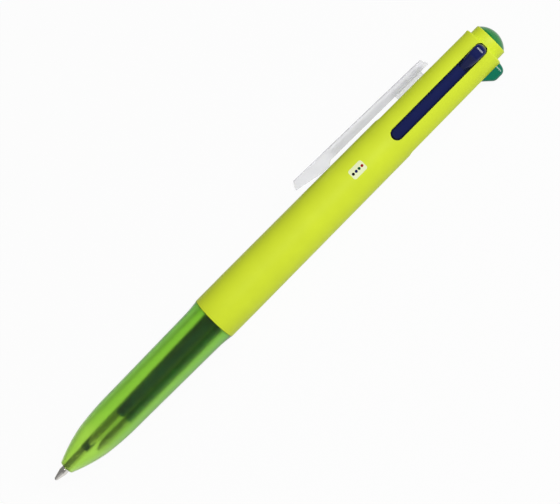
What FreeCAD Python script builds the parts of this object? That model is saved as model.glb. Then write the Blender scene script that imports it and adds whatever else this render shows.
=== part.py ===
"""Multicolour click pen, in millimetres.

The pen lies level on its two lower knobs, along X, with its writing end towards -X.
Every piece is drawn on the pen's own axis with x = 0 at the extended point. A slider and
its refill are drawn at the top (+Z) and then turned about X to their station.
"""
import FreeCAD, Part
import math
import os

V = FreeCAD.Vector
ALONG = V(1, 0, 0)
ACROSS = V(0, 1, 0)
UP = V(0, 0, 1)

# ---- driving dimensions -------------------------------------------------------------
stroke = 12.0               # travel of a slider from up to fully down
joint_x = 52.8              # where the front grip meets the upper barrel
barrel_end_x = 140.85       # open rear end of the upper barrel
barrel_joint_radius = 5.84  # upper barrel at the joint
barrel_straight = 9.0       # length of constant radius behind the joint
barrel_waist_radius = 5.62  # where the upper barrel starts to taper faster
barrel_waist_setback = 4.2  # distance of that place in front of the slots
barrel_end_radius = 5.43    # upper barrel at its rear end
slot_length = 29.65
slot_width = 3.1

nose_x = 3.9                # front end of the grip
nose_radius = 1.8
nose_length = 9.0           # from the nose to the start of the hold
nose_rear_radius = 4.44
nose_middle = 4.4           # distance behind the nose of the place that sets how full its curve is
nose_fullness = 0.568       # share of the nose's swelling reached there
bore_setback = 4.1          # of the straight bore behind the nose's curve
nose_wall = 0.65
hold_front_radius = 5.12
hold_rear_radius = 5.43
hold_setback = 20.1         # distance of the hold's front behind the nose
flare_length = 4.8          # swelling of the grip in front of the joint
joint_step = 0.05           # the grip is this much slimmer than the barrel at the joint
spigot_length = 11.2        # part of the front grip inside the barrel
spigot_wall = 0.77

collar_length = 2.35
dome_radius = 4.05          # of its round edge, on the collar
dome_height = 1.85
dome_plug_radius = 2.9
dome_plug_length = 1.4

refill_tube_radius = 1.1
refill_tube_wall = 0.3
refill_room = 0.48          # between a refill and the bore in front of the spring guide
tip_length = 10.1           # bare metal in front of the refill tube
tip_cone_length = 2.6
tip_step = 0.1              # the metal is this much slimmer than the tube
tip_spigot = 3.0            # metal pushed into the tube
ball_radius = 0.35
ink_headroom = 18.3         # empty tube between the ink and the slider's peg
nose_cross_x = 7.0          # where an extended refill crosses the pen's axis

slider_lead = 2.6           # a slider that is up reaches this far in front of the slots
slider_foot_length = 2.0
slider_peg_radius = 0.7
slider_peg_length = 3.0
slider_bar_height = 1.0
slider_strip_height = 1.25  # raised strip that shows in the slot
slider_strip_gap = 0.4      # dark line between the strip and the slot's edge
knob_rise = 2.02            # height of the knob's crown above the barrel's rear end
knob_length = 7.2
knob_slope = 43             # of the ramp, in degrees
knob_front_round = 1.6      # where the ramp meets the crown
knob_rear_round = 1.7       # behind the crown
knob_back_lean = 0.25
knob_back_height = 1.9
knob_corner = 1.1           # round rear corners, seen from above
knob_fillet = 0.28          # along the rim of the crown

core_rod_radius = 1.7
core_rib = 0.35
core_setback = 1.4          # of the rod's front end behind the feet of the sliders

spring_wire = 0.2
spring_room = 0.25          # between a refill tube and its coil
spring_turns = 4
spring_closed_length = 8.6  # with its slider down
guide_thickness = 1.5
guide_ledge = 0.42          # width of the barrel's ledge under the spring guide

clip_length = 42.0
clip_width = 4.6
clip_roof = 0.9             # wall over the channel
clip_wall = 0.8             # walls beside the channel
clip_rear_rise = 2.72       # outer face above the barrel at the rear end
clip_tip_rise = 3.66        # outer face above the barrel at the free end
clip_tip_depth = 2.0
clip_rear_depth = 1.95
clip_front_depth = 2.45
clip_bead_setback = 7.4     # flat of the bead behind the free end
clip_bead_length = 2.0
clip_bead_step = 1.1        # slope behind the flat
clip_solid_behind_bead = 1.4
clip_saddle_room = 1.0      # channel behind the saddle
clip_pin_radius = 0.55
clip_pin_depth = 0.5        # of each pin in the clip's wall
clip_pin_drop = 1.3         # from the outer face to the pin
clip_pin_setback = 1.0      # of the pins in front of the saddle's rear end
saddle_length = 8.2
saddle_setback = 2.25       # of a saddle that is up, in front of the barrel's end
saddle_width = 2.7
clip_overhang = 2.5         # clip behind the saddle
clip_end_round = 0.6        # of the outer face's two ends
clip_rim_round = 0.5        # along the outer face

# ---- clearances ---------------------------------------------------------------------
push_gap = 0.05             # between pieces that are pushed together
slide_gap = 0.15            # between pieces that slide
lean_gap = 0.27             # between the nose hole and the point that leans through it
pin_gap = 0.15              # round the clip's pins
touch_gap = 0.1             # where the clip's bead rests on the barrel

# ---- stations round the axis, in degrees from +Y towards +Z --------------------------
stations = {"black": 45, "blue": 135, "green": 225, "red": 315}
pushed_down = "black"

# ---- worked-out sizes: the refills stand as close as their springs allow ---------------
spring_radius = refill_tube_radius + spring_room + spring_wire / 2
refill_circle = (spring_radius + spring_wire / 2 + slide_gap / 2) * math.sqrt(2)
refill_bore_radius = refill_tube_radius - refill_tube_wall
tip_radius = refill_tube_radius - tip_step
nose_hole_radius = tip_radius + lean_gap
inner_bore_radius = refill_circle + refill_tube_radius + refill_room
spigot_radius = inner_bore_radius + spigot_wall
slide_bore_radius = inner_bore_radius + guide_ledge
collar_radius = slide_bore_radius
grip_joint_radius = barrel_joint_radius - joint_step
slider_bar_radius = slide_bore_radius - slide_gap
slider_shoulder = slider_bar_radius - slider_strip_height
slider_bar_inner = slider_shoulder - slider_bar_height
slider_bar_width = 2 * (slider_bar_inner - (core_rib / 2 + slide_gap) * math.sqrt(2))
slider_strip_width = slot_width - 2 * slider_strip_gap
slider_foot_radius = (refill_circle * math.sqrt(2) - slide_gap) / 2
knob_width = slot_width - slide_gap - push_gap
knob_top_radius = barrel_end_radius + knob_rise

# ---- worked-out places, with x = 0 at the extended point --------------------------------
slot_start_x = barrel_end_x - slot_length
barrel_waist_x = slot_start_x - barrel_waist_setback
slider_end_x = barrel_end_x - slide_gap
slider_foot_x = slot_start_x - slider_lead
slider_bar_start_x = slider_foot_x + slider_foot_length
core_start_x = slider_bar_start_x + core_setback
collar_end_x = barrel_end_x + collar_length
guide_rear_x = slider_foot_x - stroke - spring_closed_length
neck_end_x = guide_rear_x - guide_thickness
refill_end_x = slider_foot_x - slide_gap
refill_tip_x = stroke       # point of a refill that is up
saddle_end_x = barrel_end_x - saddle_setback - stroke
saddle_start_x = saddle_end_x - saddle_length
clip_pin_x = saddle_end_x - clip_pin_setback
clip_rear_x = saddle_end_x + clip_overhang
clip_tip_x = clip_rear_x - clip_length
clip_bead_x = clip_tip_x + clip_bead_setback
tilt = math.degrees(math.atan(refill_circle / (slider_foot_x - stroke - nose_cross_x)))


def barrel_outline_radius(x):
    """Outer radius of the upper barrel at x."""
    straight_end_x = joint_x + barrel_straight
    if x < straight_end_x:
        return barrel_joint_radius
    if x < barrel_waist_x:
        share = (x - straight_end_x) / (barrel_waist_x - straight_end_x)
        return barrel_joint_radius + share * (barrel_waist_radius - barrel_joint_radius)
    share = (x - barrel_waist_x) / (barrel_end_x - barrel_waist_x)
    return barrel_waist_radius + share * (barrel_end_radius - barrel_waist_radius)


def clip_outer_height(x):
    """Distance of the clip's outer face from the axis."""
    tip_height = barrel_outline_radius(clip_bead_x) + clip_tip_rise
    rear_height = barrel_end_radius + clip_rear_rise
    return tip_height + (x - clip_tip_x) / clip_length * (rear_height - tip_height)


clip_pin_height = clip_outer_height(clip_pin_x) - clip_pin_drop


# ---- ways of making a solid ----------------------------------------------------------
def turned(outline):
    """Solid of revolution about the pen's axis from a closed list of edges or points."""
    if isinstance(outline[0], tuple):
        outline = chain(outline + outline[:1])
    return Part.Face(Part.Wire(Part.__sortEdges__(outline))).revolve(V(0, 0, 0), ALONG, 360)


def line(start, end):
    return Part.LineSegment(V(start[0], 0, start[1]), V(end[0], 0, end[1])).toShape()


def chain(points):
    """Straight edges from each point to the next."""
    return [line(start, end) for start, end in zip(points, points[1:])]


def arc(start, middle, end):
    return Part.Arc(*[V(x, 0, r) for x, r in (start, middle, end)]).toShape()


def rod(start, end, radius, height=0.0):
    """Cylinder along the pen, its axis at a height above the pen's axis."""
    return Part.makeCylinder(radius, end - start, V(start, 0, height), ALONG)


def block(start, end, width, low, high):
    return Part.makeBox(end - start, width, high - low, V(start, -width / 2, low))


def side_profile(outline, width):
    """Prism across the pen from edges drawn in its upright middle plane."""
    face = Part.Face(Part.Wire(Part.__sortEdges__(outline)))
    face.translate(V(0, -width / 2, 0))
    return face.extrude(V(0, width, 0))


def pill(start, end, width, low, high):
    """Upright block with round ends, seen from above."""
    radius = width / 2
    middle = block(start + radius, end - radius, width, low, high)
    ends = [Part.makeCylinder(radius, high - low, V(x, 0, low), UP) for x in (start + radius, end - radius)]
    return middle.fuse(ends).removeSplitter()


# ---- body ------------------------------------------------------------------------------
def make_upper_barrel():
    edge = 0.35
    spigot_bore = spigot_radius + 2 * push_gap
    spigot_floor_x = joint_x + spigot_length + slide_gap
    barrel = turned([
        (joint_x, spigot_bore),
        (joint_x, barrel_joint_radius - 0.05),
        (joint_x + 0.1, barrel_joint_radius),
        (joint_x + barrel_straight, barrel_joint_radius),
        (barrel_waist_x, barrel_waist_radius),
        (barrel_end_x - edge, barrel_end_radius),
        (barrel_end_x, barrel_end_radius - edge),
        (barrel_end_x, slide_bore_radius),
        (neck_end_x, slide_bore_radius),
        (neck_end_x, inner_bore_radius),
        (spigot_floor_x, inner_bore_radius),
        (spigot_floor_x, spigot_bore),
    ])
    past_end_x = barrel_end_x + slot_width
    slot = pill(slot_start_x, past_end_x, slot_width, slide_bore_radius - 1.0, barrel_waist_radius + 1.0)
    for angle in stations.values():
        barrel = barrel.cut(at_station(slot, angle))
    return barrel


def make_front_grip():
    """One moulding from the nose hole over the hold and the flare to the spigot."""
    chamfer = 0.3
    nose_shoulder = (nose_x + chamfer, nose_radius)
    nose_middle_x = nose_x + nose_middle
    nose_middle_radius = nose_radius + nose_fullness * (nose_rear_radius - nose_radius)
    nose_rear = (nose_x + nose_length, nose_rear_radius)
    hold_front = (nose_x + hold_setback, hold_front_radius)
    hold_rear = (joint_x - flare_length, hold_rear_radius)
    joint = (joint_x, grip_joint_radius)
    flare_middle = (joint_x - 2.0, hold_rear_radius + 0.33 * (grip_joint_radius - hold_rear_radius))
    spigot_end_x = joint_x + spigot_length
    edges = [
        line((nose_x, nose_radius - chamfer), nose_shoulder),
        arc(nose_shoulder, (nose_middle_x, nose_middle_radius), nose_rear),
        arc(nose_rear, (nose_x + 14.0, hold_front_radius - 0.17), hold_front),
        line(hold_front, hold_rear),
        arc(hold_rear, flare_middle, joint),
    ]
    spigot = [joint, (joint_x, spigot_radius), (spigot_end_x - chamfer, spigot_radius),
              (spigot_end_x, spigot_radius - chamfer), (spigot_end_x, inner_bore_radius)]
    cavity = [(nose_rear[0] + bore_setback, inner_bore_radius), (nose_rear[0], nose_rear_radius - nose_wall),
              (nose_middle_x, nose_middle_radius - nose_wall), (nose_x + chamfer, nose_hole_radius + 0.08)]
    nose_face = [(nose_x, nose_hole_radius), (nose_x, nose_radius - chamfer)]
    return turned(edges + chain(spigot + cavity + nose_face))


def make_slide_core():
    """Collar with the rod and ribs that keep the four sliders apart."""
    edge = 0.25
    socket_radius = dome_plug_radius + push_gap
    socket_floor_x = collar_end_x - dome_plug_length - push_gap
    collar = turned([
        (barrel_end_x, 0), (barrel_end_x, collar_radius),
        (collar_end_x - edge, collar_radius), (collar_end_x, collar_radius - edge),
        (collar_end_x, socket_radius), (socket_floor_x, socket_radius), (socket_floor_x, 0),
    ])
    core = collar.fuse(rod(core_start_x, barrel_end_x, core_rod_radius))
    rib = block(core_start_x, barrel_end_x, core_rib, 0, slide_bore_radius - push_gap)
    rounder = rod(core_start_x, barrel_end_x, slide_bore_radius - push_gap)
    for angle in stations.values():
        core = core.fuse(at_station(rib.common(rounder), angle + 45))
    return core.removeSplitter()


def make_end_dome():
    crown = (collar_end_x + dome_height, 0)
    rim = (collar_end_x, dome_radius)
    ball = (dome_radius ** 2 + dome_height ** 2) / (2 * dome_height)
    half = math.asin(dome_radius / ball) / 2
    middle = (crown[0] - ball + ball * math.cos(half), ball * math.sin(half))
    plug_end_x = collar_end_x - dome_plug_length
    plug = [(collar_end_x, dome_plug_radius), (plug_end_x, dome_plug_radius), (plug_end_x, 0)]
    return turned([arc(crown, middle, rim)] + chain([rim] + plug + [crown]))


def make_spring_guide():
    """Plate on the barrel's ledge: each hole lets its refill lean in towards the nose."""
    plate = rod(neck_end_x, guide_rear_x, slide_bore_radius - push_gap)
    hole_radius = refill_tube_radius + slide_gap
    lean = (slider_foot_x - stroke - neck_end_x) * math.tan(math.radians(tilt))
    outer = rod(neck_end_x, guide_rear_x, hole_radius, refill_circle)
    inner = rod(neck_end_x, guide_rear_x, hole_radius, refill_circle - lean)
    middle = block(neck_end_x, guide_rear_x, 2 * hole_radius, refill_circle - lean, refill_circle)
    hole = middle.fuse([outer, inner])
    for angle in stations.values():
        plate = plate.cut(at_station(hole, angle))
    return plate


# ---- sliders ---------------------------------------------------------------------------
def make_slider_bar():
    """Bar in the barrel, the strip that shows in the slot, and the foot and peg that push the refill."""
    bar = block(slider_bar_start_x, slider_end_x, slider_bar_width, slider_bar_inner, slider_shoulder)
    strip_start_x = slot_start_x + slider_strip_gap
    past_end_x = slider_end_x + slider_strip_width
    strip = pill(strip_start_x, past_end_x, slider_strip_width, slider_shoulder, slider_bar_radius)
    strip = strip.common(rod(strip_start_x, slider_end_x, slider_bar_radius))
    foot = rod(slider_foot_x, slider_bar_start_x, slider_foot_radius, refill_circle)
    peg = rod(slider_foot_x - slider_peg_length, slider_foot_x, slider_peg_radius, refill_circle)
    return bar.fuse([strip, foot, peg])


def knob_plan(start, end):
    """Upright block that widens from the strip to the full slot and has round rear corners."""
    wide_x = end - 2.0
    narrow = slider_strip_width / 2
    wide = knob_width / 2
    plan = [V(start, -narrow, 0), V(wide_x, -wide, 0), V(end, -wide, 0), V(end, wide, 0), V(wide_x, wide, 0),
            V(start, narrow, 0)]
    plan = Part.Face(Part.makePolygon(plan + plan[:1])).extrude(V(0, 0, knob_top_radius + 1))
    rear = [edge for edge in plan.Edges if edge.BoundBox.XMin > end - 0.01 and edge.BoundBox.ZLength > 1]
    return plan.makeFillet(knob_corner, rear)


def make_knob_slider():
    """Slider with the ramped knob that the thumb pushes."""
    knob_end_x = barrel_end_x + push_gap
    knob_start_x = knob_end_x - knob_length
    ledge_radius = collar_radius + slide_gap
    ramp_length = (knob_top_radius - slider_bar_radius) / math.tan(math.radians(knob_slope))
    crown_front = (knob_start_x + ramp_length, knob_top_radius)
    crown_rear = (knob_end_x - knob_back_lean, knob_top_radius)
    back = [(knob_end_x, knob_top_radius - knob_back_height), (knob_end_x, ledge_radius)]
    step = [(slider_end_x, ledge_radius), (slider_end_x, slider_shoulder)]
    front = [(knob_start_x, slider_shoulder), (knob_start_x, slider_bar_radius)]
    corners = [crown_front, crown_rear] + back + step + front
    knob = side_profile(chain(corners + corners[:1]), knob_width)
    for radius, (x, height) in ((knob_front_round, crown_front), (knob_rear_round, crown_rear)):
        corner = Part.Vertex(x, 0, height)
        knob = knob.makeFillet(radius, [edge for edge in knob.Edges if edge.distToShape(corner)[0] < 0.01])
    knob = knob.common(knob_plan(knob_start_x, knob_end_x))
    rim_low = knob_top_radius - knob_rise / 3
    high_edges = [edge for edge in knob.Edges if edge.BoundBox.ZMax > rim_low]
    rim = [edge for edge in high_edges if edge.BoundBox.YLength < knob_width / 2]
    knob = knob.makeFillet(knob_fillet, rim)
    return make_slider_bar().fuse(knob).removeSplitter()


def cross_pin(radius, length):
    """Cylinder across the pen at the clip's pins."""
    return Part.makeCylinder(radius, length, V(clip_pin_x, -length / 2, clip_pin_height), ACROSS)


def make_clip_slider():
    """Slider whose saddle stands out of its slot and carries the clip on two pins."""
    roof = clip_roof + 2 * slide_gap
    saddle_top = [(x, clip_outer_height(x) - roof) for x in (saddle_start_x, saddle_end_x)]
    corners = [(saddle_start_x, slider_shoulder)] + saddle_top + [(saddle_end_x, slider_shoulder)]
    saddle = side_profile(chain(corners + corners[:1]), saddle_width)
    pins = cross_pin(clip_pin_radius, clip_width - 2 * clip_wall + 2 * clip_pin_depth)
    bar = make_slider_bar()
    bar.translate(V(-stroke, 0, 0))
    return bar.fuse([saddle, pins]).removeSplitter()


def make_clip():
    """Channel-shaped clip: solid tip with a wedge-shaped bead that rests on the barrel, open underneath."""
    bead_low = barrel_outline_radius(clip_bead_x) + touch_gap
    tip_top = (clip_tip_x + 1.3, clip_outer_height(clip_tip_x + 1.3))
    tip_low = (clip_tip_x, clip_outer_height(clip_tip_x) - clip_tip_depth)
    bead_rear_x = clip_bead_x + clip_bead_length
    step_x = bead_rear_x + clip_bead_step
    rear_top = (clip_rear_x - 0.9, clip_outer_height(clip_rear_x - 0.9))
    rear_low = (clip_rear_x, clip_outer_height(clip_rear_x) - clip_rear_depth)
    step_top = (step_x, clip_outer_height(step_x) - clip_front_depth)
    corners = [tip_top, rear_top, rear_low, step_top, (bead_rear_x, bead_low), (clip_bead_x, bead_low), tip_low]
    clip = side_profile(chain(corners + corners[:1]), clip_width)
    outer_low = max(clip_pin_height, tip_low[1])
    ends = [edge for edge in clip.Edges if edge.BoundBox.YLength > 1 and edge.BoundBox.ZMin > outer_low]
    clip = clip.makeFillet(clip_end_round, ends)
    long_edges = [edge for edge in clip.Edges if edge.BoundBox.XLength > clip_length / 2]
    rims = [edge for edge in long_edges if edge.BoundBox.YLength < 0.01 and edge.BoundBox.ZMax > rear_top[1]]
    clip = clip.makeFillet(clip_rim_round, rims)
    channel_width = clip_width - 2 * clip_wall
    channel_start_x = step_x + clip_solid_behind_bead
    channel_end_x = saddle_end_x + clip_saddle_room
    roof = [(x, clip_outer_height(x) - clip_roof) for x in (channel_start_x, channel_end_x)]
    corners = [(channel_start_x, 0)] + roof + [(channel_end_x, 0)]
    channel = side_profile(chain(corners + corners[:1]), channel_width)
    hole = cross_pin(clip_pin_radius + pin_gap, channel_width + 2 * (clip_pin_depth + push_gap))
    return clip.cut(channel).cut(hole)


# ---- refills and springs -----------------------------------------------------------------
def make_refill():
    """The four pieces of a refill whose slider is up, by name."""
    tube_start_x = refill_tip_x + tip_length
    tube = rod(tube_start_x, refill_end_x, refill_tube_radius, refill_circle)
    tube = tube.cut(rod(tube_start_x, refill_end_x, refill_bore_radius, refill_circle))
    spigot_end_x = tube_start_x + tip_spigot
    ball_x = refill_tip_x + ball_radius
    channel_radius = 0.25
    seat_radius = ball_radius + 0.02
    mouth_x = refill_tip_x + 0.25
    tip = turned([
        (mouth_x, seat_radius), (mouth_x, seat_radius + 0.05), (refill_tip_x + tip_cone_length, tip_radius),
        (tube_start_x, tip_radius), (tube_start_x, refill_bore_radius), (spigot_end_x, refill_bore_radius),
        (spigot_end_x, channel_radius), (ball_x + ball_radius, channel_radius), (ball_x + 0.1, seat_radius),
    ])
    tip.translate(V(0, 0, refill_circle))
    ball = Part.makeSphere(ball_radius, V(ball_x, 0, refill_circle))
    ink_end_x = refill_end_x - slider_peg_length - ink_headroom
    ink = rod(spigot_end_x, ink_end_x, refill_bore_radius - 0.02, refill_circle)
    return {"refill_tube": tube, "tip": tip, "ball": ball, "ink": ink}


def make_spring(length):
    """Coil round a refill, from the guide plate to the slider's foot."""
    inside = spring_wire / 2 + 0.02
    coil_length = length - 2 * inside
    helix = Part.makeHelix(coil_length / spring_turns, coil_length, spring_radius)
    half = spring_wire / 2
    corners = [V(spring_radius + a * half, 0, b * half) for a, b in ((-1, -1), (1, -1), (1, 1), (-1, 1))]
    section = Part.makePolygon(corners + corners[:1])
    coil = Part.Wire(helix.Edges).makePipeShell([section], True, True)
    coil.rotate(V(0, 0, 0), ACROSS, 90)
    coil.translate(V(guide_rear_x + inside, 0, refill_circle))
    return coil


# ---- placing -------------------------------------------------------------------------------
def at_station(shape, angle):
    placed = shape.copy()
    placed.rotate(V(0, 0, 0), ALONG, angle - 90)
    return placed


def extended(shape):
    """Push a refill down by the stroke and lean it in, so that its point leaves the nose."""
    placed = shape.copy()
    placed.translate(V(-stroke, 0, 0))
    placed.rotate(V(slider_foot_x - stroke, 0, refill_circle), ACROSS, -tilt)
    return placed


def make_pen():
    pieces = {
        "upper_barrel": make_upper_barrel(),
        "front_grip": make_front_grip(),
        "slide_core": make_slide_core(),
        "end_dome": make_end_dome(),
        "spring_guide": make_spring_guide(),
        "clip": at_station(make_clip(), stations[pushed_down]),
    }
    for colour, angle in stations.items():
        down = colour == pushed_down
        slider = make_clip_slider() if down else make_knob_slider()
        pieces[colour + "_slider"] = at_station(slider, angle)
        for name, shape in make_refill().items():
            pieces[colour + "_" + name] = at_station(extended(shape) if down else shape, angle)
        spring = make_spring(slider_foot_x - guide_rear_x - (stroke if down else 0))
        if down:
            spring.rotate(V(slider_foot_x - stroke, 0, refill_circle), ACROSS, -tilt)
        pieces[colour + "_spring"] = at_station(spring, angle)
    return pieces


def main():
    os.makedirs("parts", exist_ok=True)
    pieces = make_pen()
    box = FreeCAD.BoundBox()
    for shape in pieces.values():
        box.add(shape.optimalBoundingBox(False))
    origin = V(-box.Center.x, -box.Center.y, -box.ZMin)
    for name, shape in pieces.items():
        shape.translate(origin)
        shape.exportStep("parts/" + name + ".step")
        state = "valid" if shape.isValid() else "NOT VALID"
        print(f"{name:18s} {len(shape.Solids)} solid {state:9s} {shape.Volume:9.2f} mm3")
    print(f"axis passes through y {origin.y:.4f}, z {origin.z:.4f}; extended point at x {origin.x:.4f}")
    print(f"size {box.XLength:.3f} x {box.YLength:.3f} x {box.ZLength:.3f}; lean {tilt:.4f} degrees")


main()
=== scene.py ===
# %% [markdown]
# # A multicolour click pen
# The pen is a lime barrel, a clear green front grip and four sliders, one of which carries the pocket clip.
# Its solid parts come in from the frame, where each moving body already has its place. The pieces that
# show are modelled again here, finer than the solids, and the inner ones only get a finish.

# %% Load the frame
import bmesh
import bpy
import math
from mathutils import Matrix, Vector


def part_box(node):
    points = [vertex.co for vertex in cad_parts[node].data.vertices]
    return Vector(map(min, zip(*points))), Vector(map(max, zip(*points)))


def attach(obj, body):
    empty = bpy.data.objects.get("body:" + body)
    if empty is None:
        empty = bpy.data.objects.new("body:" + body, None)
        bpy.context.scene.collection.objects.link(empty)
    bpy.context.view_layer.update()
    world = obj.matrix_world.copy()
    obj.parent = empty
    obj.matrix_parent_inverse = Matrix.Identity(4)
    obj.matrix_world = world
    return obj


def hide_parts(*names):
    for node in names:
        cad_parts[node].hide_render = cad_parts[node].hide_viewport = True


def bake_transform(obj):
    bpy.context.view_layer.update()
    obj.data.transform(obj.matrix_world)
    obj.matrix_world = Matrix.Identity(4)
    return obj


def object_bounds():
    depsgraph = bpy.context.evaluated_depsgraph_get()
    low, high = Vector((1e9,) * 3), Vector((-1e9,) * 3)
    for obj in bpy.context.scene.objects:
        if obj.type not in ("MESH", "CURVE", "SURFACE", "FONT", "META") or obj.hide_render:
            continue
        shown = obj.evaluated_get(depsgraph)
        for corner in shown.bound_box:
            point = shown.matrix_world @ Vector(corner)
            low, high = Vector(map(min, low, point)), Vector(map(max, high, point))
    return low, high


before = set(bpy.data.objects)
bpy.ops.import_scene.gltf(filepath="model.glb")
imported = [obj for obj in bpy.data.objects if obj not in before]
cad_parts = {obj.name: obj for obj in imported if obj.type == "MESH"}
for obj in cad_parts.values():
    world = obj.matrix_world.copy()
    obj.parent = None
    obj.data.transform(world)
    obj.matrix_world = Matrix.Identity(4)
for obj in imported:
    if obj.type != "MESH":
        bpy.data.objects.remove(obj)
cad_low, cad_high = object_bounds()
print("pen box, mm:", [round(1000 * side, 2) for side in cad_high - cad_low])

# %% [markdown]
# The pen lies along X and its four slots stand at 45 degrees to the desk. A piece that belongs to a slot
# is easiest to model as if its slot faced straight up, at the middle of the pen, and is then turned
# about the pen's own axis. All lengths below are in millimetres along the pen from its writing point.

# %% The pen's axis and its stations
MM = 0.001
barrel_low, barrel_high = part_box("upper_barrel")
axis_y = (barrel_low.y + barrel_high.y) / 2
axis_z = (barrel_low.z + barrel_high.z) / 2
point_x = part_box("black_ball")[0].x
joint_x = (barrel_low.x - point_x) / MM
barrel_end_x = (barrel_high.x - point_x) / MM
stations = {"black": 45, "blue": 135, "green": 225, "red": 315}
print(f"joint at {joint_x:.2f} mm, barrel's end at {barrel_end_x:.2f} mm")


def to_pen(station=90):
    """The turn and move that take a piece drawn in millimetres, slot up, to its place on the pen."""
    place = Matrix.Translation((point_x, axis_y, axis_z))
    return place @ Matrix.Rotation(math.radians(station - 90), 4, "X") @ Matrix.Scale(MM, 4)


# %% [markdown]
# Every outline of the pen is made of straight runs, arcs and soft curves, so these come first. An outline
# is a list of (distance along, height) points. Corners with a round are given as (along, height, round).

# %% Outlines
ARC_STEPS = 6


def arc_points(centre, radius, start, end, count=ARC_STEPS):
    """Points on a round stretch of an outline, angles in degrees from +X towards the rim."""
    angles = [math.radians(start + (end - start) * i / count) for i in range(count + 1)]
    return [(centre[0] + radius * math.cos(a), centre[1] + radius * math.sin(a)) for a in angles]


def arc_through(a, b, c, count=16):
    """Points on the arc from a through b to c."""
    a, b, c = Vector(a), Vector(b), Vector(c)
    mid_ab, mid_bc = (a + b) / 2, (b + c) / 2
    side_ab, side_bc = (b - a).orthogonal(), (c - b).orthogonal()
    share = (mid_bc - mid_ab).cross(side_bc) / side_ab.cross(side_bc)
    centre = mid_ab + share * side_ab
    start, end = (math.degrees(math.atan2(*reversed(p - centre))) for p in (a, c))
    return arc_points(centre, (a - centre).length, start, end, count)


def rounded(corners, count=ARC_STEPS):
    """An outline through (along, height, round) corners, each rounded by an arc that touches both its sides."""
    outline = []
    for before, corner, after in zip(corners[-1:] + corners[:-1], corners, corners[1:] + corners[:1]):
        here, radius = Vector(corner[:2]), corner[2]
        if radius == 0:
            outline.append(corner[:2])
            continue
        back = (Vector(before[:2]) - here).normalized()
        on = (Vector(after[:2]) - here).normalized()
        half = back.angle(on) / 2
        centre = here + (back + on).normalized() * radius / math.sin(half)
        reach = radius / math.tan(half)
        start, end = (math.degrees(math.atan2(*reversed(here + way * reach - centre))) for way in (back, on))
        sweep = (end - start + 180) % 360 - 180
        outline += arc_points(centre, radius, start, start + sweep, count)
    return outline


def smooth_through(points, per_span=6):
    """A Catmull-Rom line through an outline's points."""
    line = [Vector(p) for p in points]
    line = [2 * line[0] - line[1]] + line + [2 * line[-1] - line[-2]]
    out = []
    for a, b, c, d in zip(line, line[1:], line[2:], line[3:]):
        for i in range(per_span):
            t = i / per_span
            out.append(0.5 * (2 * b + (c - a) * t + (2 * a - 5 * b + 4 * c - d) * t ** 2
                              + (3 * b - a - 3 * c + d) * t ** 3))
    return [tuple(p) for p in out] + [tuple(line[-2])]


def pill_outline(start, end, width, count=16):
    """A slot's outline seen from above, round at both ends."""
    half = width / 2
    return arc_points((end - half, 0), half, -90, 90, count) + arc_points((start + half, 0), half, 90, 270, count)


# %% [markdown]
# Most of a pen is turned work, so one helper spins an outline about the axis. The rest is moulded from flat
# views, so another extrudes an outline. A full spin with use_merge closes the surface, and the normals are
# recalculated after the doubles at the poles are merged.

# %% Turned and extruded shapes
ROUND = 128


def spun(points, steps=ROUND, closed=True):
    """A bmesh turned about the pen's axis from an outline. An open one starts and ends on the axis."""
    bm = bmesh.new()
    verts = [bm.verts.new((x, 0, r)) for x, r in points]
    ends = verts[1:] + verts[:1] if closed else verts[1:]
    edges = [bm.edges.new(pair) for pair in zip(verts, ends)]
    bmesh.ops.spin(bm, geom=verts + edges, axis=(1, 0, 0), cent=(0, 0, 0), angle=math.tau, steps=steps,
                   use_merge=True)
    bmesh.ops.remove_doubles(bm, verts=bm.verts, dist=1e-4)
    bmesh.ops.recalc_face_normals(bm, faces=bm.faces)
    return bm


def prism(points, low, high, across):
    """A bmesh from a flat outline: a side view (x, z) across "Y", a plan (x, y) across "Z", or a section (y, z)
    across "X"."""
    lay = {"X": lambda a, b: (low, a, b), "Y": lambda a, b: (a, low, b), "Z": lambda a, b: (a, b, low)}[across]
    bm = bmesh.new()
    face = bm.faces.new([bm.verts.new(lay(*point)) for point in points])
    grown = bmesh.ops.extrude_face_region(bm, geom=[face])["geom"]
    moved = [part for part in grown if isinstance(part, bmesh.types.BMVert)]
    reach = Vector([high - low if axis == across else 0 for axis in "XYZ"])
    bmesh.ops.translate(bm, vec=reach, verts=moved)
    bmesh.ops.recalc_face_normals(bm, faces=bm.faces)
    return bm


def placed(bm, place):
    bmesh.ops.transform(bm, matrix=place, verts=bm.verts)
    return bm


# %% [markdown]
# Shapes are put together with exact booleans on whole closed meshes, as a mould maker adds and removes
# metal. The work is done in millimetres at the middle of the pen. Only the finished piece goes to its place.

# %% Booleans and finished pieces
def to_object(bm, name="tool"):
    mesh = bpy.data.meshes.new(name)
    bm.to_mesh(mesh)
    bm.free()
    thing = bpy.data.objects.new(name, mesh)
    bpy.context.scene.collection.objects.link(thing)
    return thing


def combined(bm, operation, others):
    """A closed bmesh after exact booleans with others: UNION, DIFFERENCE or INTERSECT."""
    whole = to_object(bm, "whole")
    for other in others:
        tool = to_object(other)
        step = whole.modifiers.new("step", "BOOLEAN")
        step.operation = operation
        step.solver = "EXACT"
        step.object = tool
        whole_now = whole.evaluated_get(bpy.context.evaluated_depsgraph_get())
        shape = bpy.data.meshes.new_from_object(whole_now)
        whole.modifiers.clear()
        whole.data = shape
        bpy.data.objects.remove(tool)
    out = bmesh.new()
    out.from_mesh(whole.data)
    bmesh.ops.remove_doubles(out, verts=out.verts, dist=0.0005)
    bpy.data.objects.remove(whole)
    return out


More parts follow.
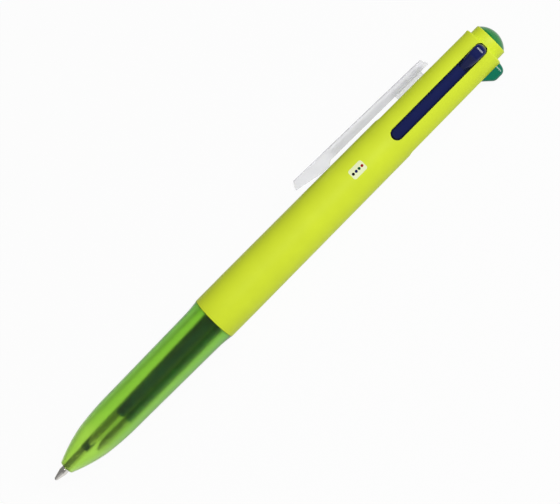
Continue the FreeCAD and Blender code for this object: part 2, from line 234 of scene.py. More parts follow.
def finished(bm, name, place, finish, body, node=None, smooth_angle=35):
    """Puts a millimetre bmesh in its place on the pen, makes its smooth object with its finish, hangs it on its body
    and hides the solid it stands in for.
    """
    piece = to_object(placed(bm, place), name)
    piece.data.polygons.foreach_set("use_smooth", [True] * len(piece.data.polygons))
    piece.data.set_sharp_from_angle(angle=math.radians(smooth_angle))
    piece.data.materials.append(finish)
    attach(piece, body)
    if node:
        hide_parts(node)
    print(f"{name}: {len(piece.data.polygons)} faces")
    return piece


def soft_edges(piece, width, segments=2, angle=40):
    """A small round on every sharp edge, as a mould leaves."""
    bevel = piece.modifiers.new("soft_edges", "BEVEL")
    bevel.width = width * MM
    bevel.segments = segments
    bevel.limit_method = "ANGLE"
    bevel.angle_limit = math.radians(angle)
    bevel.harden_normals = True


# %% [markdown]
# Two kinds of finish cover the pen. Opaque moulded plastic gets a base colour that drifts a little, as
# pigment does, and a fine bump from the mould. Clear and tinted plastic is the same shader with its
# transmission up, so that the pieces inside show through it. Its base colour is what one wall leaves of
# white light, because the tint acts once at each side of the wall.

# %% Helpers for finishes
def node_shader(name):
    finish = bpy.data.materials.new(name)
    finish.use_nodes = True
    nodes = finish.node_tree.nodes
    return finish, nodes, finish.node_tree.links, nodes["Principled BSDF"]


def grained(nodes, links, shader, scale, strength, distance, stretch=1.0):
    """A fine bump in the object's own space, drawn out along the pen by stretch."""
    where = nodes.new("ShaderNodeTexCoord")
    drawn = nodes.new("ShaderNodeMapping")
    drawn.inputs["Scale"].default_value = (1.0, stretch, stretch)
    grain = nodes.new("ShaderNodeTexNoise")
    grain.inputs["Scale"].default_value = scale
    grain.inputs["Detail"].default_value = 4.0
    bump = nodes.new("ShaderNodeBump")
    bump.inputs["Strength"].default_value = strength
    bump.inputs["Distance"].default_value = distance
    links.new(where.outputs["Object"], drawn.inputs["Vector"])
    links.new(drawn.outputs["Vector"], grain.inputs["Vector"])
    links.new(grain.outputs["Fac"], bump.inputs["Height"])
    links.new(bump.outputs["Normal"], shader.inputs["Normal"])
    return where


def varied_colour(nodes, links, shader, where, colour, drift, scale):
    """The base colour drifts between a darker and a lighter mix of itself."""
    noise = nodes.new("ShaderNodeTexNoise")
    noise.inputs["Scale"].default_value = scale
    noise.inputs["Detail"].default_value = 3.0
    ramp = nodes.new("ShaderNodeValToRGB")
    for element, position, sign in zip(ramp.color_ramp.elements, (0.3, 0.7), (-1, 1)):
        element.position = position
        element.color = [min(1, c * (1 + sign * drift)) for c in colour] + [1]
    links.new(where.outputs["Object"], noise.inputs["Vector"])
    links.new(noise.outputs["Fac"], ramp.inputs["Fac"])
    links.new(ramp.outputs["Color"], shader.inputs["Base Color"])


def varied_roughness(nodes, links, shader, where, roughness, spread, scale):
    noise = nodes.new("ShaderNodeTexNoise")
    noise.inputs["Scale"].default_value = scale
    span = nodes.new("ShaderNodeMapRange")
    span.inputs["To Min"].default_value = roughness * (1 - spread)
    span.inputs["To Max"].default_value = roughness * (1 + spread)
    links.new(where.outputs["Object"], noise.inputs["Vector"])
    links.new(noise.outputs["Fac"], span.inputs["Value"])
    links.new(span.outputs["Result"], shader.inputs["Roughness"])


def moulded(name, colour, roughness, drift=0.04, grain=0.06, specular=0.5, transmission=0.0, ior=1.5):
    finish, nodes, links, shader = node_shader(name)
    where = grained(nodes, links, shader, 2600, grain, 0.00002)
    varied_colour(nodes, links, shader, where, colour, drift, 140)
    varied_roughness(nodes, links, shader, where, roughness, 0.15, 500)
    shader.inputs["Specular IOR Level"].default_value = specular
    shader.inputs["Transmission Weight"].default_value = transmission
    shader.inputs["IOR"].default_value = ior
    return finish


def metal(name, colour, roughness, stretch=1.0):
    finish, nodes, links, shader = node_shader(name)
    where = grained(nodes, links, shader, 3000, 0.05, 0.00001, stretch)
    varied_colour(nodes, links, shader, where, colour, 0.05, 800)
    varied_roughness(nodes, links, shader, where, roughness, 0.3, 1500)
    shader.inputs["Metallic"].default_value = 1.0
    return finish


# %% Finishes
lime = moulded("lime_plastic", (0.645, 0.765, 0.026), 0.45, drift=0.03, specular=0.3)
grip_green = moulded("frosted_green", (0.76, 0.93, 0.34), 0.30, drift=0.02, grain=0.03, specular=0.15,
                     transmission=1.0, ior=1.4)
clear = moulded("clear_plastic", (0.94, 0.94, 0.97), 0.16, drift=0.01, grain=0.03, transmission=0.62, ior=1.4)
emerald = moulded("emerald_clear", (0.01, 0.33, 0.06), 0.06, drift=0.05, grain=0.0, specular=0.3,
                  transmission=0.4, ior=1.4)
slider_finish = {
    "blue": moulded("blue_plastic", (0.005, 0.010, 0.085), 0.14, specular=0.3),
    "green": moulded("green_plastic", (0.0, 0.16, 0.095), 0.14, specular=0.4),
    "red": moulded("red_plastic", (0.50, 0.012, 0.012), 0.14, specular=0.4),
}
tube_colour = {"black": (0.012, 0.05, 0.09), "blue": (0.015, 0.06, 0.28), "green": (0.015, 0.15, 0.08),
               "red": (0.17, 0.15, 0.14)}
ink_colour = {"black": (0.004, 0.004, 0.005), "blue": (0.004, 0.006, 0.10), "green": (0.0, 0.07, 0.02),
              "red": (0.35, 0.002, 0.002)}
tube_finish = {colour: moulded(colour + "_tube", value, 0.25, drift=0.08) for colour, value in tube_colour.items()}
ink_finish = {colour: moulded(colour + "_ink", value, 0.15, drift=0.1, grain=0.0)
              for colour, value in ink_colour.items()}
guide_finish = moulded("white_plastic", (0.80, 0.80, 0.78), 0.45)
print_finish = moulded("white_print", (0.78, 0.84, 0.50), 0.5, drift=0.02)
steel = metal("nickel_steel", (0.68, 0.66, 0.62), 0.25, stretch=6.0)
carbide = metal("ball_carbide", (0.42, 0.42, 0.43), 0.12)
wire_steel = metal("spring_steel", (0.62, 0.62, 0.62), 0.22)


def soak(finish, colour, density):
    """Colour that the plastic takes from light along its path inside, so that thick places are deeper."""
    nodes = finish.node_tree.nodes
    depth = nodes.new("ShaderNodeVolumeAbsorption")
    depth.inputs["Color"].default_value = colour + (1,)
    depth.inputs["Density"].default_value = density
    finish.node_tree.links.new(depth.outputs["Volume"], nodes["Material Output"].inputs["Volume"])


soak(grip_green, (0.30, 0.75, 0.0), 340.0)
print(len(bpy.data.materials), "finishes")

# %% [markdown]
# ## The upper barrel
# A turned tube with four slots milled through its rear end. The tube is spun from one closed outline, and
# each slot is cut with a pill-shaped block, which leaves its round ends: the front one whole, and the rear
# one with a narrow mouth in the barrel's end. A small bevel on the cut edges catches the light as the
# moulded edges do.

# %% Upper barrel
BARREL_RADIUS = (barrel_high.z - barrel_low.z) / 2 / MM
BARREL_END_RADIUS = 5.43
BORE_RADIUS = 4.298
NECK_RADIUS = 3.878
NECK_END = 86.5
SPIGOT_BORE = 4.748
SPIGOT_FLOOR = joint_x + 11.35
SLOT_START = 111.2
SLOT_WIDTH = 3.1
FRONT_ROUND, REAR_ROUND, BORE_CHAMFER = 0.22, 0.45, 0.1
straight_end = joint_x + 9
taper = [(84.4, 5.73), (107.0, 5.62), (124.0, 5.524)]
rear_corner = barrel_end_x - REAR_ROUND
barrel_side = smooth_through([(straight_end, BARREL_RADIUS)] + taper + [(rear_corner, BARREL_END_RADIUS)])
barrel_outline = [(joint_x + BORE_CHAMFER, SPIGOT_BORE), (joint_x, SPIGOT_BORE + BORE_CHAMFER)]
barrel_outline += arc_points((joint_x + FRONT_ROUND, BARREL_RADIUS - FRONT_ROUND), FRONT_ROUND, 180, 90, 4)
barrel_outline += barrel_side + arc_points((rear_corner, BARREL_END_RADIUS - REAR_ROUND), REAR_ROUND, 85, 0)
barrel_outline += [(barrel_end_x, BORE_RADIUS), (NECK_END, BORE_RADIUS), (NECK_END, NECK_RADIUS),
                   (SPIGOT_FLOOR, NECK_RADIUS), (SPIGOT_FLOOR, SPIGOT_BORE)]
SLOT_END = barrel_end_x + 0.15
CUT_FLOOR, CUT_TOP = 3.0, 8.0
slot_blocks = [placed(prism(pill_outline(SLOT_START, SLOT_END, SLOT_WIDTH), CUT_FLOOR, CUT_TOP, "Z"),
                      Matrix.Rotation(math.radians(angle - 90), 4, "X")) for angle in stations.values()]
barrel = combined(spun(barrel_outline), "DIFFERENCE", slot_blocks)
barrel = finished(barrel, "barrel_tube", to_pen(), lime, "barrel", "upper_barrel", 30)
soft_edges(barrel, 0.1)

# %% [markdown]
# ## The print
# A small white badge with one dot for each ink colour is printed on the side. Print has almost no
# thickness, so both are thin rings round the barrel, of which a flat outline keeps only the badge or a dot.

# %% Badge
BADGE_X, BADGE_LENGTH, BADGE_WIDTH, BADGE_CORNER = 100.6, 4.1, 2.6, 0.55
BADGE_SHIFT = 0.6
DOT_RADIUS, DOT_PITCH, DOT_SIDES = 0.36, 0.92, 16
BADGE_THICKNESS, DOT_THICKNESS, PRINT_SINK = 0.008, 0.014, 0.03
RING_REACH = 4
PRINT_FLOOR, PRINT_TOP = 4.0, 7.0


def barrel_radius_at(x):
    """Radius of the barrel over its slim middle, which runs from one radius to the other."""
    start, length, radius, narrowing = 61.8, 45.2, 5.84, 0.22
    return radius - (x - start) / length * narrowing


def printed(outline, thickness):
    """A thin closed layer on the barrel, bounded by an outline seen from above."""
    ring_ends = [BADGE_X - RING_REACH, BADGE_X + RING_REACH]
    outer = [(x, barrel_radius_at(x) + thickness) for x in ring_ends]
    inner = [(x, barrel_radius_at(x) - PRINT_SINK) for x in reversed(ring_ends)]
    ring = placed(spun(outer + inner), Matrix.Rotation(math.radians(-45), 4, "X"))
    return combined(ring, "INTERSECT", [prism(outline, PRINT_FLOOR, PRINT_TOP, "Z")])


half_length, half_width = BADGE_LENGTH / 2, BADGE_WIDTH / 2
badge_corners = [(BADGE_X + lengthwise * half_length, BADGE_SHIFT + crosswise * half_width, BADGE_CORNER)
                 for lengthwise, crosswise in ((-1, -1), (1, -1), (1, 1), (-1, 1))]
side = to_pen(stations["blue"])
finished(printed(rounded(badge_corners), BADGE_THICKNESS), "print_badge", side, print_finish, "barrel")
for place_in_row, colour in enumerate(stations):
    dot_x = BADGE_X + (place_in_row - (len(stations) - 1) / 2) * DOT_PITCH
    dot_outline = arc_points((dot_x, BADGE_SHIFT), DOT_RADIUS, 0, 360 - 360 / DOT_SIDES, DOT_SIDES - 1)
    dot = printed(dot_outline, DOT_THICKNESS)
    finished(dot, "print_dot_" + colour, side, ink_finish[colour], "barrel")

# %% [markdown]
# ## The front grip
# One clear green moulding with a true wall, since light that passes through it shows the refills inside. The
# outline runs from the nose hole over the swelling grip to the flare at the joint, along the spigot and
# back inside. The spigot's thread is a small ridge spun with a steady advance along the pen.

# %% Front grip
NOSE = 3.9
SPIGOT_RADIUS = 4.45
SPIGOT_END = joint_x + 11.2
SPIGOT_FILLET, SPIGOT_CHAMFER = 0.15, 0.3
MOUTH_RADIUS, MOUTH_LIP, MOUTH_ROUND = 1.32, 1.45, 0.33
BORE_EDGE, BORE_EDGE_DEPTH = 0.05, 0.052
nose_curve = [(NOSE + 0.42, 1.85), (8.3, 3.30), (12.9, 4.44)]
swell = [(12.9, 4.44), (17.9, 4.95), (24.0, 5.12)]
middle = (36.0, 5.275)
flare = [(48.0, 5.43), (50.8, 5.55), (joint_x, 5.79)]
inside = [(40.0, NECK_RADIUS), (17.5, NECK_RADIUS), (12.9, 3.79), (8.3, 2.65), (4.3, 1.38)]
grip_outline = [(NOSE + BORE_EDGE, MOUTH_RADIUS - BORE_EDGE), (NOSE, MOUTH_RADIUS), (NOSE, MOUTH_LIP)]
grip_outline += arc_points((NOSE + MOUTH_ROUND, MOUTH_LIP + 0.02), MOUTH_ROUND, 175, 110, 5)
grip_outline += arc_through(*nose_curve)[1:] + arc_through(*swell)[1:] + [middle] + arc_through(*flare, 10)
grip_outline += [(joint_x, SPIGOT_RADIUS + SPIGOT_FILLET), (joint_x + SPIGOT_FILLET, SPIGOT_RADIUS),
                 (SPIGOT_END - SPIGOT_CHAMFER, SPIGOT_RADIUS), (SPIGOT_END, SPIGOT_RADIUS - SPIGOT_CHAMFER),
                 (SPIGOT_END, NECK_RADIUS + BORE_EDGE_DEPTH), (SPIGOT_END - BORE_EDGE, NECK_RADIUS)]
grip_outline += smooth_through(inside, 8)
finished(spun(grip_outline), "clear_grip", to_pen(), grip_green, "front_grip", "front_grip", 30)

THREAD_PITCH, THREAD_TURNS, THREAD_STEPS = 1.1, 7, 48
THREAD_ROOT, THREAD_CREST = 4.38, 4.70
ROOT_HALF, CREST_HALF = 0.38, 0.1
thread_start = joint_x + 2.0
corners = [(-ROOT_HALF, THREAD_ROOT), (-CREST_HALF, THREAD_CREST), (CREST_HALF, THREAD_CREST), (ROOT_HALF, THREAD_ROOT)]
thread = bmesh.new()
section = thread.faces.new([thread.verts.new((thread_start + x, 0, r)) for x, r in corners])
bmesh.ops.spin(thread, geom=[section], axis=(1, 0, 0), cent=(0, 0, 0), dvec=(THREAD_PITCH / THREAD_STEPS, 0, 0),
               angle=math.tau * THREAD_TURNS, steps=THREAD_STEPS * THREAD_TURNS)
bmesh.ops.recalc_face_normals(thread, faces=thread.faces)
finished(thread, "spigot_thread", to_pen(), grip_green, "front_grip")

# %% [markdown]
# ## The rear end
# The collar steps in behind the barrel and carries the dome. Its rod and four ribs, seen only through an
# empty slot, keep the sliders apart. The dome is a clear lens over a recess with eight facets, which give
# it the sparkle of a cut stone.

# %% Slide core and dome
COLLAR_RADIUS = 4.298
COLLAR_END = barrel_end_x + 2.35
CORE_START, CORE_ROD = 112.0, 1.7
COLLAR_ROUND = 0.25
SEAT_RADIUS, SEAT_DEPTH = 2.95, 1.45
RIB_THICKNESS, RIB_INNER, RIB_OUTER = 0.35, 1.0, 4.2
RIB_END = barrel_end_x + 0.1
core_outline = [(CORE_START, 0), (CORE_START, CORE_ROD), (barrel_end_x, CORE_ROD), (barrel_end_x, COLLAR_RADIUS)]
core_outline += arc_points((COLLAR_END - COLLAR_ROUND, COLLAR_RADIUS - COLLAR_ROUND), COLLAR_ROUND, 90, 0)
core_outline += [(COLLAR_END, SEAT_RADIUS), (COLLAR_END - SEAT_DEPTH, SEAT_RADIUS), (COLLAR_END - SEAT_DEPTH, 0)]
core = spun(core_outline, closed=False)
ribs = []
for angle in stations.values():
    rib_view = [(CORE_START, RIB_INNER), (RIB_END, RIB_INNER), (RIB_END, RIB_OUTER), (CORE_START, RIB_OUTER)]
    rib = prism(rib_view, -RIB_THICKNESS / 2, RIB_THICKNESS / 2, "Y")
    ribs.append(placed(rib, Matrix.Rotation(math.radians(angle - 45), 4, "X")))
finished(combined(core, "UNION", ribs), "collar_and_core", to_pen(), lime, "barrel", "slide_core")

DOME_RADIUS, DOME_HEIGHT = 4.05, 1.85
PLUG_RADIUS, PLUG_LENGTH = 2.9, 1.4
FACETS, RECESS_DEPTH, RECESS_MOUTH, RECESS_TOP = 8, 2.5, 2.5, 0.5
RECESS_SPARE = 0.05
lens_radius = (DOME_RADIUS ** 2 + DOME_HEIGHT ** 2) / (2 * DOME_HEIGHT)
lens_half = math.degrees(math.asin(DOME_RADIUS / lens_radius))
dome_outline = arc_points((COLLAR_END + DOME_HEIGHT - lens_radius, 0), lens_radius, 0, lens_half, 20)
dome_outline += [(COLLAR_END, PLUG_RADIUS), (COLLAR_END - PLUG_LENGTH, PLUG_RADIUS), (COLLAR_END - PLUG_LENGTH, 0)]
recess = bmesh.new()
bmesh.ops.create_cone(recess, cap_ends=True, segments=FACETS, radius1=RECESS_MOUTH, radius2=RECESS_TOP,
                      depth=RECESS_DEPTH)
placed(recess, Matrix.Translation((COLLAR_END - PLUG_LENGTH + RECESS_DEPTH / 2 - RECESS_SPARE, 0, 0))
       @ Matrix.Rotation(math.radians(90), 4, "Y"))
dome = combined(spun(dome_outline, closed=False), "DIFFERENCE", [recess])
finished(dome, "dome_lens", to_pen(), emerald, "barrel", "end_dome", 30)

# %% [markdown]
# ## The sliders
# A slider is a bar that runs inside the barrel with a narrower strip that shows in the slot. Three of them
# end in a ramped knob, which is round in plan, with a rounded rim that catches the light. A bevel would
# stumble where the ramp thins out, so a fine grid takes the plan's shape and is raised to the side view
# instead, and its edge is extruded down. The fourth slider carries the clip.

# %% Slider shapes
STROKE = 12.0
SLIDER_END = barrel_end_x - 0.15
FOOT, FOOT_LENGTH, FOOT_RADIUS = 108.6, 2.0, 1.55
PEG_LENGTH, PEG_RADIUS, PEG_CHAMFER = 3.0, 0.7, 0.15
REFILL_CIRCLE = 2.298
BAR_INNER, SHOULDER, STRIP_TOP = 1.898, 2.898, 4.148
BAR_WIDTH, STRIP_WIDTH = 2.877, 2.3
STRIP_FRONT = SLOT_START + 0.4
KNOB_TOP = 7.45
KNOB_FRONT, KNOB_REAR = barrel_end_x - 7.35, barrel_end_x - 0.2
KNOB_HALF = 1.45
RIM_ROUND = 0.65
RAMP_ANGLE, RAMP_ROUND = 43, 1.6
CROWN_ROUND, CROWN_LEAN, CROWN_DROP = 1.7, 0.25, 1.9
LEDGE_HEIGHT = 4.448
WELD, OVERLAP = 0.1, 0.05


def slider_shells(shift=0.0):
    """Closed shells of a slider's strip, bar, foot and peg."""
    front, rear = FOOT + FOOT_LENGTH + shift, SLIDER_END + shift
    half = BAR_WIDTH / 2
    bar = prism([(front, BAR_INNER), (rear, BAR_INNER), (rear, SHOULDER), (front, SHOULDER)], -half, half, "Y")
    edge = math.degrees(math.asin(STRIP_WIDTH / STRIP_TOP))
    crown = arc_points((0, 0), STRIP_TOP, 90 - edge, 90 + edge, 12)
    section = [(STRIP_WIDTH, SHOULDER - WELD)] + crown + [(-STRIP_WIDTH, SHOULDER - WELD)]
    plan = pill_outline(STRIP_FRONT + shift, rear + STRIP_WIDTH, STRIP_WIDTH)
    strip = combined(prism(section, STRIP_FRONT + shift - 1, rear, "X"), "INTERSECT", [prism(plan, 2.0, 6.0, "Z")])
    lift = Matrix.Translation((shift, 0, REFILL_CIRCLE))
    foot_rear = FOOT + FOOT_LENGTH + OVERLAP
    foot = placed(spun([(FOOT, 0), (FOOT, FOOT_RADIUS), (foot_rear, FOOT_RADIUS), (foot_rear, 0)], 32, False), lift)
    peg_front, peg_rear = FOOT - PEG_LENGTH, FOOT + OVERLAP
    peg = placed(spun([(peg_front, 0), (peg_front, PEG_RADIUS - PEG_CHAMFER), (peg_front + PEG_CHAMFER, PEG_RADIUS),
                       (peg_rear, PEG_RADIUS), (peg_rear, 0)], 24, False), lift)
    return [bar, strip, foot, peg]


def height_on(outline, x):
    """Height of an outline over x, by straight lines between its points."""
    for (x0, z0), (x1, z1) in zip(outline, outline[1:]):
        if x0 <= x <= x1 and x1 > x0:
            return z0 + (z1 - z0) * (x - x0) / (x1 - x0)
    return outline[-1][1]


def knob_shell():
    """The knob of a slider that is up: a fine grid laid over its plan and raised to its side view."""
    ramp = (KNOB_TOP - STRIP_TOP) / math.tan(math.radians(RAMP_ANGLE))
    side_view = [(KNOB_FRONT, STRIP_TOP)] + rounded([
        (KNOB_FRONT - 1, 0, 0), (KNOB_FRONT, STRIP_TOP, 0), (KNOB_FRONT + ramp, KNOB_TOP, RAMP_ROUND),
        (KNOB_REAR - CROWN_LEAN, KNOB_TOP, CROWN_ROUND), (KNOB_REAR, KNOB_TOP - CROWN_DROP, 0)], 12)[2:]
    end_centre = KNOB_REAR - KNOB_HALF
    knob = bmesh.new()
    bmesh.ops.create_grid(knob, x_segments=64, y_segments=24, size=1.0)
    for vert in knob.verts:
        x = KNOB_FRONT + (KNOB_REAR - KNOB_FRONT) * math.sin((vert.co.x + 1) * math.pi / 4)
        half = STRIP_WIDTH / 2 + (KNOB_HALF - STRIP_WIDTH / 2) * min(1, (x - KNOB_FRONT) / (end_centre - KNOB_FRONT))
        past = max(0.0, x - end_centre)
        half = math.sqrt(max(0.0, half ** 2 - past ** 2))
        y = half * math.sin(vert.co.y * math.pi / 2)
        from_rim = KNOB_HALF - math.hypot(past, y) if past else half - abs(y)
        into_round = max(0.0, RIM_ROUND - max(0.0, from_rim))
        drop = RIM_ROUND - math.sqrt(RIM_ROUND ** 2 - into_round ** 2)
        vert.co = (x, y, height_on(side_view, x) - drop)
    bmesh.ops.remove_doubles(knob, verts=knob.verts, dist=0.0005)
    rim = [edge for edge in knob.edges if edge.is_boundary]
    walls = bmesh.ops.extrude_edge_only(knob, edges=rim)["geom"]
    for part in walls:
        if isinstance(part, bmesh.types.BMVert):
            part.co.z = SHOULDER - WELD
    bmesh.ops.holes_fill(knob, edges=[edge for edge in knob.edges if edge.is_boundary])
    bmesh.ops.recalc_face_normals(knob, faces=knob.faces)
    ledge_rear, ledge_low = KNOB_REAR + 1, 2.0
    ledge = prism([(SLIDER_END, ledge_low), (SLIDER_END, LEDGE_HEIGHT), (ledge_rear, LEDGE_HEIGHT),
                   (ledge_rear, ledge_low)], -2, 2, "Y")
    return combined(knob, "DIFFERENCE", [ledge])


# %% Sliders with knobs
for colour in ("blue", "green", "red"):
    slider = combined(slider_shells()[0], "UNION", slider_shells()[1:] + [knob_shell()])
    finished(slider, colour + "_slide", to_pen(stations[colour]), slider_finish[colour], colour + "_slider",
             colour + "_slider")

# %% [markdown]
# ## The clip and its slider
# The clip is a clear channel, open underneath. Its side view, with the bead that presses on the barrel, is
# extruded a little too wide and too high. What a block with rounded upper rims shares with it is kept, and
# the channel and the pin holes are cut. It sits on the saddle of a clear slider, on two pins. Both are
# worked at the top and then turned to the clip's station.

# %% Clip
CLIP_WIDTH, CHANNEL_WIDTH = 4.6, 3.0
CLIP_TIP, CLIP_REAR = 87.1, 129.1
TIP_HEIGHT, REAR_HEIGHT = 9.341, 8.15
TIP_TOP, REAR_TOP = 88.4, 128.2
TIP_DEPTH, REAR_DEPTH, STEP_DEPTH = 2.0, 1.95, 2.45
BEAD_LOW, BEAD_FRONT, BEAD_REAR, BEAD_STEP = 5.781, 94.5, 96.5, 97.6
PIN_X, PIN_RADIUS, PIN_LENGTH, PIN_DROP = 125.6, 0.55, 4.0, 1.3
HOLE_RADIUS, HOLE_LENGTH = 0.7, 4.1
CLIP_ROOF, CLIP_RIM = 0.9, 0.5
CHANNEL_FRONT, CHANNEL_REAR = 99.0, 127.6
SPARE = 0.1


def clip_height(x):
    """Height of the clip's outer face over the axis."""
    return TIP_HEIGHT + (x - CLIP_TIP) / (CLIP_REAR - CLIP_TIP) * (REAR_HEIGHT - TIP_HEIGHT)


def across_pin(radius, length):
    pin = bmesh.new()
    bmesh.ops.create_cone(pin, cap_ends=True, segments=32, radius1=radius, radius2=radius, depth=length)
    return placed(pin, Matrix.Translation((PIN_X, 0, clip_height(PIN_X) - PIN_DROP))
                  @ Matrix.Rotation(math.radians(90), 4, "X"))


clip_view = rounded([(TIP_TOP, clip_height(TIP_TOP) + SPARE, 0.6), (REAR_TOP, clip_height(REAR_TOP) + SPARE, 0.6),
                     (CLIP_REAR, REAR_HEIGHT - REAR_DEPTH, 0.15), (BEAD_STEP, clip_height(BEAD_STEP) - STEP_DEPTH, 0.5),
                     (BEAD_REAR, BEAD_LOW, 0.35), (BEAD_FRONT, BEAD_LOW, 0.8),
                     (CLIP_TIP, TIP_HEIGHT - TIP_DEPTH, 0.25)])
half, deep = CLIP_WIDTH / 2, -8.0
section = rounded([(half, deep, 0), (half, 0, CLIP_RIM), (-half, 0, CLIP_RIM), (-half, deep, 0)], 8)
section = prism(section, CLIP_TIP - 1, CLIP_REAR + 1, "X")
for vert in section.verts:
    vert.co.z += clip_height(vert.co.x)
clip = combined(prism(clip_view, -half - SPARE, half + SPARE, "Y"), "INTERSECT", [section])
channel = prism([(CHANNEL_FRONT, 0), (CHANNEL_FRONT, clip_height(CHANNEL_FRONT) - CLIP_ROOF),
                 (CHANNEL_REAR, clip_height(CHANNEL_REAR) - CLIP_ROOF), (CHANNEL_REAR, 0)],
                -CHANNEL_WIDTH / 2, CHANNEL_WIDTH / 2, "Y")
clip = combined(clip, "DIFFERENCE", [channel, across_pin(HOLE_RADIUS, HOLE_LENGTH)])
clip = finished(clip, "pocket_clip", to_pen(stations["black"]), clear, "clip", "clip")
soft_edges(clip, 0.08, 2, 45)

# %% Clip slider
SADDLE_FRONT, SADDLE_REAR, SADDLE_WIDTH = 118.4, 126.6, 2.7
SADDLE_DROP = 1.2
saddle_view = [(SADDLE_FRONT, SHOULDER - WELD), (SADDLE_FRONT, clip_height(SADDLE_FRONT) - SADDLE_DROP),
               (SADDLE_REAR, clip_height(SADDLE_REAR) - SADDLE_DROP), (SADDLE_REAR, SHOULDER - WELD)]
saddle = prism(saddle_view, -SADDLE_WIDTH / 2, SADDLE_WIDTH / 2, "Y")
shells = slider_shells(-STROKE)
slider = combined(shells[0], "UNION", shells[1:] + [saddle, across_pin(PIN_RADIUS, PIN_LENGTH)])
finished(slider, "clip_slide", to_pen(stations["black"]), clear, "black_slider", "black_slider")

# %% [markdown]
# ## Refills
# A refill is a tube with a turned metal point pushed into it. The points are spun again here, because the
# one that stands out of the nose is seen close up; tubes, inks and balls keep their solids. The refill in
# use leans in from its slider to the hole in the nose, so its pieces take one more turn.

# %% Points and refill finishes
TIP_LENGTH, TIP_RADIUS, POINT_BORE = 10.1, 1.0, 0.25
SHANK_LENGTH, SHANK_RADIUS = 3, 0.79
GROOVE_RADIUS = 0.975
NOSE_CROSS = 7.0
lean = math.atan(REFILL_CIRCLE / (FOOT - STROKE - NOSE_CROSS))
pivot = Matrix.Translation((FOOT - STROKE, 0, REFILL_CIRCLE))
leaning = pivot @ Matrix.Rotation(-lean, 4, "Y") @ pivot.inverted()


def refill_place(colour):
    """Millimetre space of a refill drawn on its own axis with its point at x = 0."""
    if colour == "black":
        return to_pen(stations[colour]) @ leaning @ Matrix.Translation((0, 0, REFILL_CIRCLE))
    return to_pen(stations[colour]) @ Matrix.Translation((STROKE, 0, REFILL_CIRCLE))


shank_end = TIP_LENGTH + SHANK_LENGTH
cone = [(0.60, POINT_BORE), (0.25, 0.37), (0.22, 0.40), (0.27, 0.43), (2.45, 0.97), (2.6, TIP_RADIUS)]
groove = [(3.4, TIP_RADIUS), (3.46, GROOVE_RADIUS), (3.56, GROOVE_RADIUS), (3.62, TIP_RADIUS)]
shank = [(TIP_LENGTH - 0.1, TIP_RADIUS), (TIP_LENGTH, 0.92), (TIP_LENGTH, SHANK_RADIUS), (shank_end, SHANK_RADIUS),
         (shank_end, POINT_BORE)]
point_outline = cone + groove + shank
for colour in stations:
    body = colour + ("_refill" if colour in ("black", "green") else "_slider")
    finished(spun(point_outline, 64), colour + "_point", refill_place(colour), steel, body,
             colour + "_tip", 20)
    for node, finish in (("_refill_tube", tube_finish[colour]), ("_ball", carbide), ("_ink", ink_finish[colour])):
        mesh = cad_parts[colour + node].data
        mesh.materials.clear()
        mesh.materials.append(finish)
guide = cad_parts["spring_guide"].data
guide.materials.clear()
guide.materials.append(guide_finish)

# %% [markdown]
# ## Springs
# Each refill has a return spring between the fixed guide plate and its slider's foot. A spin whose steps
# also move along the axis draws the coil. The coil of the refill that is down is drawn shorter and leans
# with that refill.

# %% Return springs
GUIDE_REAR = 88.0
WIRE = 0.1
COIL_RADIUS = 1.45
TURNS, STEPS = 8, 20
for colour, station in stations.items():
    down = STROKE if colour == "black" else 0.0
    reach = FOOT - down - GUIDE_REAR - 4 * WIRE
    coil = bmesh.new()
    ring = bmesh.ops.create_circle(coil, cap_ends=False, segments=8, radius=WIRE)["verts"]
    bmesh.ops.rotate(coil, cent=(0, 0, 0), matrix=Matrix.Rotation(math.radians(90), 3, "X"), verts=ring)
    bmesh.ops.translate(coil, vec=(GUIDE_REAR + 2 * WIRE, 0, COIL_RADIUS), verts=ring)
    bmesh.ops.spin(coil, geom=coil.edges[:], axis=(1, 0, 0), cent=(0, 0, 0), dvec=(reach / TURNS / STEPS, 0, 0),
                   angle=math.tau * TURNS, steps=TURNS * STEPS)
    bmesh.ops.holes_fill(coil, edges=[edge for edge in coil.edges if edge.is_boundary])
    bmesh.ops.recalc_face_normals(coil, faces=coil.faces)
    lift = Matrix.Translation((0, 0, REFILL_CIRCLE))
    place = to_pen(station) @ (leaning @ lift if down else lift)
    spring = to_object(placed(coil, place), colour + "_coil")
    spring.data.polygons.foreach_set("use_smooth", [True] * len(spring.data.polygons))
    spring.data.materials.append(wire_steel)
    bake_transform(spring)
    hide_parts(colour + "_spring")
print("four springs of", TURNS, "turns")

# %% [markdown]
# ## Floor, camera and light
# A pale floor under the pen keeps its shadow. It glows only to camera, gloss and transmission rays, so that
# it frames the pen without throwing extra light on it. Two large soft lamps near the camera, a little
# towards the pen's rear end, leave the darker bands along the barrel's sides. A wide weak one lights the
# nose, and two small ones beside the pen put sparks on its rounded edges.

# %% Floor
FLOOR_GLOW = 0.955
FLOOR_GREY = 0.65
FLOOR_HALF = 2.0
floor_mesh = bmesh.new()
bmesh.ops.create_grid(floor_mesh, x_segments=1, y_segments=1, size=FLOOR_HALF)
bmesh.ops.translate(floor_mesh, vec=(0, 0, cad_low.z), verts=floor_mesh.verts)
floor = to_object(floor_mesh, "floor")
paper, nodes, links, shader = node_shader("pale_floor")
shader.inputs["Base Color"].default_value = (FLOOR_GREY, FLOOR_GREY, FLOOR_GREY, 1)
shader.inputs["Roughness"].default_value = 0.9
rays = nodes.new("ShaderNodeLightPath")
glow = nodes.new("ShaderNodeEmission")
glow.inputs["Strength"].default_value = 1.0


def maths(operation, first, second):
    node = nodes.new("ShaderNodeMath")
    node.operation = operation
    links.new(first, node.inputs[0])
    if isinstance(second, float):
        node.inputs[1].default_value = second
    else:
        links.new(second, node.inputs[1])
    return node.outputs[0]


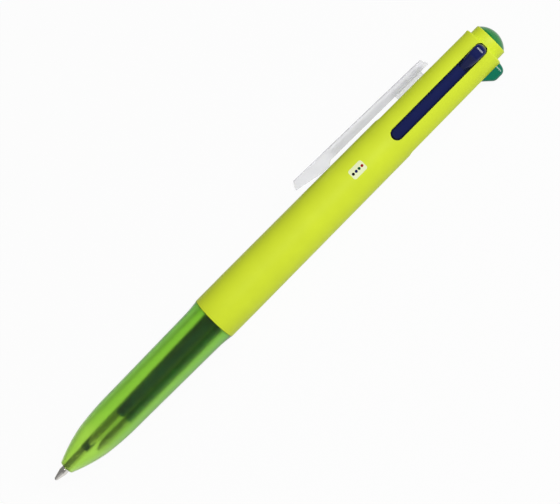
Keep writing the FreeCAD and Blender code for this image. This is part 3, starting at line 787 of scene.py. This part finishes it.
seen = maths("MAXIMUM", rays.outputs["Is Camera Ray"], rays.outputs["Is Glossy Ray"])
seen = maths("MAXIMUM", seen, rays.outputs["Is Transmission Ray"])
mix = nodes.new("ShaderNodeMixShader")
links.new(maths("MULTIPLY", seen, FLOOR_GLOW), mix.inputs["Fac"])
links.new(shader.outputs[0], mix.inputs[1])
links.new(glow.outputs[0], mix.inputs[2])
links.new(mix.outputs[0], nodes["Material Output"].inputs["Surface"])
floor.data.materials.append(paper)

SKY = 0.26
world = bpy.data.worlds.new("studio")
world.use_nodes = True
world.node_tree.nodes["Background"].inputs["Color"].default_value = (1, 1, 1, 1)
world.node_tree.nodes["Background"].inputs["Strength"].default_value = SKY
bpy.context.scene.world = world

# %% Camera
MM_ACROSS_VIEW = 128.9
FOOT_OF_VIEW = 112.0
VIEW_DISTANCE = 560.0
AIM = 74.5
PEN_ANGLE = 45.25
to_axis = to_pen(stations["blue"])
eye = to_axis @ Vector((FOOT_OF_VIEW, 0, VIEW_DISTANCE))
aim = to_axis @ Vector((AIM, 0, 0))
towards_eye = (eye - aim).normalized()
along = Vector((1, 0, 0))
along = (along - along.dot(towards_eye) * towards_eye).normalized()
clipwards = towards_eye.cross(along)
turn = math.radians(PEN_ANGLE)
right = math.cos(turn) * along - math.sin(turn) * clipwards
up = math.sin(turn) * along + math.cos(turn) * clipwards
camera_data = bpy.data.cameras.new("camera")
camera = bpy.data.objects.new("camera", camera_data)
bpy.context.scene.collection.objects.link(camera)
camera.matrix_world = Matrix.Translation(eye) @ Matrix((right, up, towards_eye)).transposed().to_4x4()
camera_data.lens = camera_data.sensor_width * (eye - aim).length / (MM_ACROSS_VIEW * MM)
camera_data.clip_start = 0.01
bpy.context.scene.camera = camera


# %% Lamps
def soft_lamp(name, direction, distance, size, power):
    """A square lamp that faces the pen. direction is (along the pen, towards the clip, towards the eye)."""
    way = (direction[0] * along + direction[1] * clipwards + direction[2] * towards_eye).normalized()
    lamp_data = bpy.data.lights.new(name, "AREA")
    lamp_data.size = size
    lamp_data.energy = power
    lamp = bpy.data.objects.new(name, lamp_data)
    lamp.location = aim + way * distance
    lamp.rotation_euler = way.to_track_quat("Z", "Y").to_euler()
    bpy.context.scene.collection.objects.link(lamp)


soft_lamp("key", (0.5, -0.05, 1.0), 0.8, 0.33, 3.15)
soft_lamp("fill", (0.4, 0.15, 1.0), 0.9, 0.33, 2.2)
soft_lamp("front", (-1.0, -0.2, 0.5), 0.6, 0.6, 0.3)
for side_name, side_way in (("right", -1.0), ("left", 1.0)):
    soft_lamp("spark_" + side_name, (0.25, side_way, 0.8), 0.6, 0.04, 0.15)

# %% View transform
bpy.context.scene.view_settings.view_transform = "Standard"
